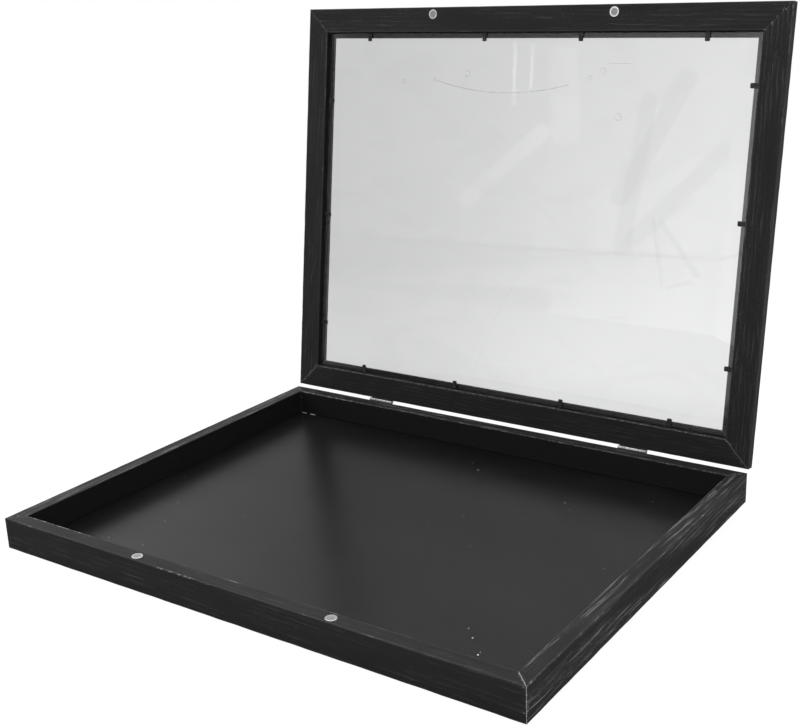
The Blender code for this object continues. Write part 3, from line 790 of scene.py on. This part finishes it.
def acrylic():
    """Clear acrylic with a grey cast: slow waves, a haze of wear, and hairline scratches.

    A scratch is where the distance from a circle's line, less its radius, is under a hair's width,
    between two places along the pane.
    """
    clear = Finish("clear_acrylic_sheet", IOR=1.49, Transmission_Weight=1.0)
    spot = clear.spot(TO_LID)
    x, y, _ = clear.axes(spot)
    marks = []
    for centre_x, centre_y, radius, start, end, depth in SCRATCHES:
        away = abs(((x - centre_x) ** 2 + (y - centre_y) ** 2) ** 0.5 - radius)
        stretch = clear.rise(x, start, start + 0.01) * clear.rise(x, end, end - 0.01)
        marks.append(clear.rise(away, 0.0006, 0.0002) * stretch * depth)
    broken = clear.rise(clear.noise(spot, (90, 90, 90), 3, 4.0), 0.36, 0.56)
    haze = clear.rise(clear.noise(spot, (9, 14, 9), 4, 8.0, Distortion=1.2), 0.40, 0.72)
    rub = clear.rise(clear.noise(spot, (700, 26, 26), 2, 3.0), 0.62, 0.74) * haze
    marks = reduce(Field.larger, marks) * broken
    clear.set(
        Base_Color=clear.mix(marks + haze * 0.04 + rub * 0.02, ACRYLIC, HAIRLINE),
        Roughness=0.01 + 0.04 * haze + 0.3 * marks,
    )
    waves = clear.noise(spot, (5, 3.2, 4), 2, 1.0, Distortion=0.8)
    clear.bump(waves + 0.10 * clear.noise(spot, (30, 17, 20), 2, 6.0), 0.0004, 0.25)
    through = clear.node("BsdfTransparent", (), {"Color": ACRYLIC})
    lamps = clear.node("LightPath", out="Is Shadow Ray")
    seen = clear.node("MixShader", (), {0: lamps, 1: Field(clear.shader.outputs[0]), 2: through})
    clear.feed(clear.tree.nodes["Material Output"].inputs["Surface"], seen)
    return clear.material


pane = solid("pane", [sheet(*PANE_SIZE, *PANE_LEVEL, PANE_EASE, inner=12)], LID, acrylic())
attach(pane, "lid")
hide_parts("clear_pane")


# Glazing tabs
# Fourteen strips of thin black steel, pushed into the wall of the rebate over the pane. Each
# tip springs up a little from the pane and is rounded off.

TAB_LONG, TAB_ROOT, TAB_HALF, TAB_ROUND = 0.0135, -0.005, 0.0036, 0.0016
TAB_LIFT, TAB_DISH, TAB_SEED = (0.0001, 0.0004), 0.00012, 11
TAB_BLACK = 0.0045, 0.0045, 0.0045, 1
TAB_BARE = 0.20, 0.20, 0.20, 1


def tab_strip(lift, dish):
    """A strip as a grid of rings: its half width narrows as a circle does at the tip and the root.

    The strip's height is dish times the square of the share across it, plus lift times the square
    of the share along the part that is over the pane.
    """
    share = 0.5 - 0.5 * np.cos(np.linspace(0, math.pi, 25))
    along = TAB_ROOT + (TAB_LONG - TAB_ROOT) * share
    from_end = np.minimum(along - TAB_ROOT, TAB_LONG - along) / TAB_ROUND
    half = TAB_HALF - TAB_ROUND * (1 - np.sqrt(1 - (1 - np.clip(from_end, 0, 1)) ** 2))
    across = np.linspace(-1, 1, 9)
    ring = np.concatenate((np.c_[across, np.zeros(9)], np.c_[across[::-1], np.ones(9)]))
    y = half[:, None] * ring[:, 0]
    spring = lift * (np.clip(along, 0, None) / TAB_LONG)[:, None] ** 2
    bend = spring + dish * (ring[:, 0] ** 2) * (along > 0)[:, None]
    z = ring[:, 1] * TAB_THICK - bend
    return shell(np.stack((np.broadcast_to(along[:, None], y.shape), y, z), -1))


def tab_steel():
    """Black oxide over steel, bare where the edges are rubbed."""
    steel = Finish("black_tab_steel", Specular_IOR_Level=0.25)
    spot = steel.spot()
    rub = steel.rise(steel.noise(spot, (420, 420, 420), 3, 2.0), 0.56, 0.72)
    steel.set(
        Base_Color=steel.mix(rub * 0.4, TAB_BLACK, TAB_BARE),
        Metallic=0.5 * rub,
        Roughness=0.45 - 0.10 * rub,
    )
    steel.bump(rub, 0.00003, 0.5)
    return steel.material


black_steel = tab_steel()
rng = np.random.default_rng(TAB_SEED)
for node in tab_nodes:
    strip = tab_strip(rng.uniform(*TAB_LIFT), TAB_DISH)
    name = f"tab_{node.removeprefix('glazing_tab_')}"
    tab = solid(name, [strip], LID @ tab_places[node], black_steel)
    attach(tab, "lid")
    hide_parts(node)


# Magnets
# Four nickel-plated discs, glued into blind holes: two in the case's free rail and two opposite
# in the lid. Their rims are bright, and their faces scuffed dull by meeting each other.

NICKEL_BRIGHT = 0.42, 0.42, 0.41, 1
NICKEL_DULL = 0.19, 0.19, 0.19, 1
MAGNET_PROFILE = (
    (0, 0), (0.0030, 0), (0.0052, 0.00003), (0.0060, 0.00008), (0.0066, 0.0001),
    (0.0070, 0.00006), (0.00735, -0.0001), (0.0075, -0.0004), (0.0075, -0.0026),
    (0.00735, -0.0029), (0.0071, -0.0030), (0, -0.0030),
)


def magnet_plating(name, place):
    """Nickel: bright at the rim, and a scuffed grey disc inside it, crossed by fine hatching.

    The scuff is where the distance from the magnet's axis is under seven tenths of its radius.
    """
    plating = Finish(name, Metallic=1.0)
    spot = plating.spot(np.linalg.inv(place))
    x, y, _ = plating.axes(spot)
    out = (x ** 2 + y ** 2) ** 0.5
    inside = plating.rise(out, 0.0057, 0.0044)
    hatch = plating.noise(spot, (900, 2600, 900), 2, 3.0)
    scuff = inside * plating.rise(hatch, 0.30, 0.70)
    plating.set(
        Base_Color=plating.mix(inside * 0.62 + scuff * 0.3, NICKEL_BRIGHT, NICKEL_DULL),
        Roughness=0.22 + 0.25 * inside + 0.12 * scuff,
    )
    plating.bump(hatch * inside, 0.00005, 0.6)
    return plating.material


for owner in ("case", "lid"):
    for number in (1, 2):
        node = f"magnet_{owner}_{number}"
        if owner == "case":
            place = at((*middle(node)[:2], CASE_HEIGHT))
        else:
            place = LID @ at((*on_lid(node)[:2], 0), FACE_DOWN)
        nickel = magnet_plating(f"magnet_nickel_{owner}_{number}", place)
        name = f"magnet_disc_{owner}_{number}"
        magnet = solid(name, [lathe(MAGNET_PROFILE, 48)], place, nickel, 50)
        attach(magnet, owner)
        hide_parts(node)


# Hinges
# Two nickel-plated butt hinges on the back: a flat leaf on the case and one on the lid, rolled
# into three knuckles round a loose pin, with two countersunk screws in each leaf.

HINGE_HALF, KNUCKLE_SPLIT, KNUCKLE_GAP = 0.022, 0.011, 0.0004
LEAF_THICK, BARREL, LEAF_TOP, LEAF_ROUND = 0.0014, 0.0030, 0.0132, 0.0020
KNUCKLE_EASE, LEAF_RIM, LEAF_PLAY = 0.00018, 0.00014, 0.0002
HINGE_NICKEL = 0.40, 0.40, 0.39, 1
HINGE_DULL = 0.20, 0.20, 0.20, 1


def leaf_plate(hand):
    """The flat of a leaf: an outline with two rounded corners, at two depths."""
    t = np.linspace(0, math.pi / 2, 8)
    corner = np.c_[np.sin(t), np.cos(t)] * LEAF_ROUND
    corner = corner + (HINGE_HALF - LEAF_ROUND, LEAF_TOP - LEAF_ROUND)
    neck = BARREL + KNUCKLE_GAP
    foot = (HINGE_HALF, neck), (-HINGE_HALF, neck)
    ring = np.concatenate((corner, foot, corner[::-1] * (-1, 1)))
    x, z = ring[:, 0], ring[:, 1] * hand
    depths = -BARREL, LEAF_THICK - BARREL
    return shell(np.stack([np.c_[x, np.full(len(ring), y), z] for y in depths]))


def knuckle(low, high, hand):
    """A rolled knuckle: a thick line carried round the pin from the leaf's neck, along X."""
    angle = np.linspace(math.pi, -0.78 * math.pi, 40)
    curl = np.c_[np.cos(angle), -np.sin(angle)]
    neck = BARREL + KNUCKLE_GAP * 1.5
    inner_radius = BARREL - LEAF_THICK
    outer = np.concatenate((((-BARREL, neck),), curl * BARREL))
    inner = np.concatenate((((-inner_radius, neck),), curl * inner_radius))
    ring = np.concatenate((outer, inner[::-1]))
    ease = KNUCKLE_EASE
    rows = []
    for x, draw in ((low, ease), (low + ease, 0), (high - ease, 0), (high, ease)):
        thick = 1 - draw / BARREL
        rows.append(np.c_[np.full(len(ring), x), ring[:, 0] * thick, ring[:, 1] * thick * hand])
    return shell(np.stack(rows))


def hinge_nickel():
    """Bright nickel plate with fine drag lines along X and finger-dulled clouds."""
    nickel = Finish("nickel_hinge", Metallic=1.0)
    spot = nickel.spot()
    drag = nickel.noise(spot, (60, 3200, 3200), 2, 1.0)
    cloud = nickel.rise(nickel.noise(spot, (210, 210, 210), 4, 6.0), 0.38, 0.66)
    nickel.set(
        Base_Color=nickel.mix(cloud * 0.6 + drag * 0.25, HINGE_NICKEL, HINGE_DULL),
        Roughness=0.16 + 0.12 * cloud + 0.08 * drag,
    )
    nickel.bump(drag + cloud * 0.5, 0.00002, 0.5)
    return nickel.material


nickel = hinge_nickel()
HINGE_PIN = (
    (0, 0.02320), (0.0008, 0.02316), (0.0015, 0.0230), (0.0020, 0.02272),
    (0.0022, 0.0225), (0.0022, 0.0223), (0.0013, 0.0223),
)
profile = [*HINGE_PIN, *((radius, -height) for radius, height in reversed(HINGE_PIN))]
along_x = np.array(Matrix.Rotation(math.pi / 2, 3, "Y"))
inner, outer = KNUCKLE_SPLIT - KNUCKLE_GAP / 2, KNUCKLE_SPLIT + KNUCKLE_GAP / 2
SPANS = {"case": [(-HINGE_HALF, -outer), (outer, HINGE_HALF)], "lid": [(-inner, inner)]}
for hand_name in ("left", "right"):
    pin_node = f"hinge_{hand_name}_pin"
    centre = middle(pin_node)
    pin = solid(f"hinge_pin_{hand_name}", [lathe(profile, 28)], at(centre, along_x), nickel, 40)
    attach(pin, "case")
    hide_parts(pin_node)
    on_lid_axis = LID_OPEN @ at((centre[0], 0, 0))
    for owner, hand, place in (("case", -1, at(centre)), ("lid", 1, on_lid_axis)):
        name = f"hinge_leaf_{hand_name}_{owner}"
        leaf = solid(name, [leaf_plate(hand)], surface=nickel, sharp=40)
        for low, high in SPANS[owner]:
            carve(leaf, [solid("barrel", [knuckle(low, high, hand)])], 40, "UNION")
        seats = []
        for number in (1, 2):
            x, _, z = middle(f"hinge_{hand_name}_case_screw_{number}") - centre
            seats.append(at((x, LEAF_THICK - BARREL, -z * hand), FACE_BACK))
        carve(leaf, [cutter([(screw_hole(LEAF_PLAY), seat) for seat in seats])], 40)
        leaf.data.transform(Matrix(place))
        rim = leaf.modifiers.new("rim", "BEVEL")
        rim.width, rim.segments, rim.limit_method = LEAF_RIM, 2, "ANGLE"
        rim.angle_limit = math.radians(50)
        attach(leaf, owner)
        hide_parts(f"hinge_{hand_name}_{owner}_leaf")
        for number, seat in enumerate(seats, 1):
            spin = at((0, 0, 0), np.array(Matrix.Rotation(0.4 + 1.3 * number, 3, "Z")))
            name = f"hinge_screw_{hand_name}_{owner}_{number}"
            made = screw(place @ seat @ spin, name, nickel)
            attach(made, owner)
            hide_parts(f"hinge_{hand_name}_{owner}_screw_{number}")


# Studio
# A pale floor under soft lamps, in a white room that the camera sees as plain white. A broad
# window and two light stands at the front left are what the pane mirrors.

LENS, SENSOR, FARTHEST = 56.10, 36, 60
VIEW = (
    (0.82362, -0.14147, 0.54921, 0.9326), (0.56589, 0.26913, -0.77932, -1.2673),
    (-0.03755, 0.95266, 0.30172, 0.7306), (0, 0, 0, 1),
)
FLOOR = (-9, -9, -0.02), (9, 9, -0.0002)
FLOOR_WHITE = 0.86, 0.86, 0.86, 1
WHITE = 1, 1, 1, 1
WINDOW, WINDOW_EDGE = (-0.241, -0.968, 0.070), 0.88
FLOOR_MIRRORED = 0.30, 0.42, 0.90
DIM_BEHIND, ROOM_LEFT = 0.19, 1.8
ROOM_FRONT, ROOM_BEHIND, ROOM_ABOVE, ROOM_THROUGH, WINDOW_LIGHT = 0.30, 0.42, 5.0, 0.46, 3.0
LAMPS = {
    "overhead": ((-0.4, -0.6, 2.6), (0, 0, 0.1), (2.2, 2.2), 34),
    "right_side": ((2.6, -0.5, 1.5), (0.2, 0, 0.2), (1.4, 1.8), 4),
    "left_side": ((-2.2, -1.8, 1.4), (0, 0, 0.2), (1.6, 1.6), 15),
}
# A bar is the x and z of its two ends' directions, its half width, and the share of the
# window's light that it takes, which is below 0 for a bright one.
STANDS = (
    ((-0.398, 0.152), (-0.408, 0.036), 0.0055, 0.40),
    ((-0.372, 0.170), (-0.412, 0.075), 0.0060, 0.40),
    ((-0.340, 0.122), (-0.400, 0.045), 0.0055, 0.40),
    ((-0.388, 0.062), (-0.376, 0.010), 0.0012, 0.40),
    ((-0.382, 0.060), (-0.352, 0.022), 0.0020, 0.40),
    ((-0.372, 0.010), (-0.356, 0.016), 0.0012, 0.40),
    ((-0.492, 0.270), (-0.491, 0.138), 0.0008, -2.2),
    ((-0.479, 0.270), (-0.480, 0.152), 0.0009, -1.8),
    ((-0.461, 0.210), (-0.455, 0.120), 0.0080, -0.4),
    ((-0.520, 0.060), (-0.470, 0.120), 0.0050, -0.6),
    ((-0.640, -0.030), (-0.462, -0.012), 0.0090, 0.45),
)
scene = bpy.context.scene
scene.view_settings.view_transform = "Standard"


def floor_paint():
    """Matt white with a faint shadow by the part, and plain white to the camera far from it.

    A mirror sees it dim by the part and brighter far off, most of all towards the window. Through
    the pane it dims towards the left.
    """
    white = Finish("pale_floor", Base_Color=FLOOR_WHITE, Roughness=0.9, Specular_IOR_Level=0.1)
    path = white.node("LightPath").socket.node
    seen = Field(path.outputs["Is Camera Ray"]).larger(Field(path.outputs["Is Glossy Ray"]))
    seen = seen.larger(Field(path.outputs["Is Transmission Ray"]))
    x, y, _ = white.axes(white.spot())
    away = (x ** 2 + y ** 2) ** 0.5
    far = white.rise(away, 0.7, 1.7)
    through = Field(path.outputs["Is Transmission Ray"])
    mirrored = Field(path.outputs["Is Glossy Ray"]) * (1 - through)
    dim = through * DIM_BEHIND * white.rise(x / away, -0.05, -0.65)
    near, beyond, shine = FLOOR_MIRRORED
    glare = white.rise((x * WINDOW[0] + y * WINDOW[1]) / away, WINDOW_EDGE, 1.0)
    strength = 1 + mirrored * (near - 1 + far * (beyond + shine * glare)) - dim
    glow = white.node("Emission", (), {"Color": WHITE, "Strength": strength})
    share = seen * (0.90 + 0.10 * far)
    both = white.node("MixShader", (), {0: share, 1: Field(white.shader.outputs[0]), 2: glow})
    white.feed(white.tree.nodes["Material Output"].inputs["Surface"], both)
    return white.material


def studio_room(tree):
    """White for the camera, and shaded through the pane. A mirror sees a dim front with a window,
    a brighter back, and a bright top and left.

    The window's light is the square of how far the direction's cosine with it is from its edge's
    to 1. A table's edge, the stands and the window's bars are where the direction's x and z lie
    near a line: the distance from a segment is from the point at the clamped share along it.
    """
    room = Nodes(tree)
    direction = room.node("TexCoord", out="Generated")
    x, y, z = room.axes(direction)
    sockets = {0: direction, 1: WINDOW}
    towards = room.node("VectorMath", {"operation": "DOT_PRODUCT"}, sockets, "Value")
    window = room.node("MapRange", (), {"Value": towards, "From Min": WINDOW_EDGE, "From Max": 1.0})
    window = window ** 2
    streaks = room.noise(direction, (16, 16, 2.5), 3, 4.0)
    streaks = streaks + 0.5 * room.noise(direction, (5, 5, 9), 2, 9.0)
    table = 0.058 + 0.063 * x
    under = room.rise(z, table + 0.003, table - 0.001)
    under = under * room.rise(z, 0.105 + 0.205 * x, 0.115 + 0.200 * x)
    edge = room.rise(abs(z - table), 0.0024, 0.0008)
    dark = 0.30 * under + 0.40 * edge
    for (x0, z0), (x1, z1), half, share_dark in STANDS:
        run, climb = x1 - x0, z1 - z0
        share = ((x - x0) * run + (z - z0) * climb) / (run ** 2 + climb ** 2)
        share = room.node("Clamp", (), {"Value": share})
        away = ((x - x0 - share * run) ** 2 + (z - z0 - share * climb) ** 2) ** 0.5
        dark = dark + share_dark * room.rise(away, half * 1.3, half * 0.9)
    light = ROOM_FRONT + (ROOM_BEHIND - ROOM_FRONT) * room.rise(y, -0.35, 0.15)
    left = ROOM_LEFT * room.rise(z, 0.10, 0.28) * room.rise(x, -0.60, -0.74)
    above = 1 + ROOM_ABOVE * room.rise(z, 0.30, 0.80) + left
    path = room.node("LightPath").socket.node
    camera = Field(path.outputs["Is Camera Ray"])
    through = Field(path.outputs["Is Transmission Ray"])
    mirror = Field(path.outputs["Is Glossy Ray"])
    pane_light = 1 - DIM_BEHIND * room.rise(x, -0.30, -0.62)
    pane_light = pane_light + room.rise(z, 0.05, 0.25) * (ROOM_THROUGH * above - 1)
    shine = WINDOW_LIGHT * mirror * window * (0.62 + 0.5 * streaks) * (1 - dark)
    room_light = light * above + shine
    strength = camera + (1 - camera) * (through * pane_light + (1 - through) * room_light)
    sky = room.node("Background", (), {"Color": WHITE, "Strength": strength})
    room.feed(tree.nodes["World Output"].inputs["Surface"], sky)


def lamp(name, spot, aim, size, power):
    light = bpy.data.lights.new(name, "AREA")
    light.shape, light.size, light.size_y, light.energy = "RECTANGLE", *size, power
    made = bpy.data.objects.new(name, light)
    facing = (Vector(spot) - Vector(aim)).to_track_quat("Z", "Y")
    made.matrix_world = Matrix.Translation(spot) @ facing.to_matrix().to_4x4()
    made.visible_glossy = made.visible_transmission = False
    scene.collection.objects.link(made)


floor = solid("floor", [block(*FLOOR)], surface=floor_paint())
scene.world = bpy.data.worlds.new("studio")
scene.world.use_nodes = True
studio_room(scene.world.node_tree)
for name, values in LAMPS.items():
    lamp(name, *values)

lens = bpy.data.cameras.new("camera")
lens.lens, lens.sensor_width, lens.clip_end = LENS, SENSOR, FARTHEST
camera = bpy.data.objects.new("camera", lens)
camera.matrix_world = Matrix(VIEW)
scene.collection.objects.link(camera)
scene.camera = camera
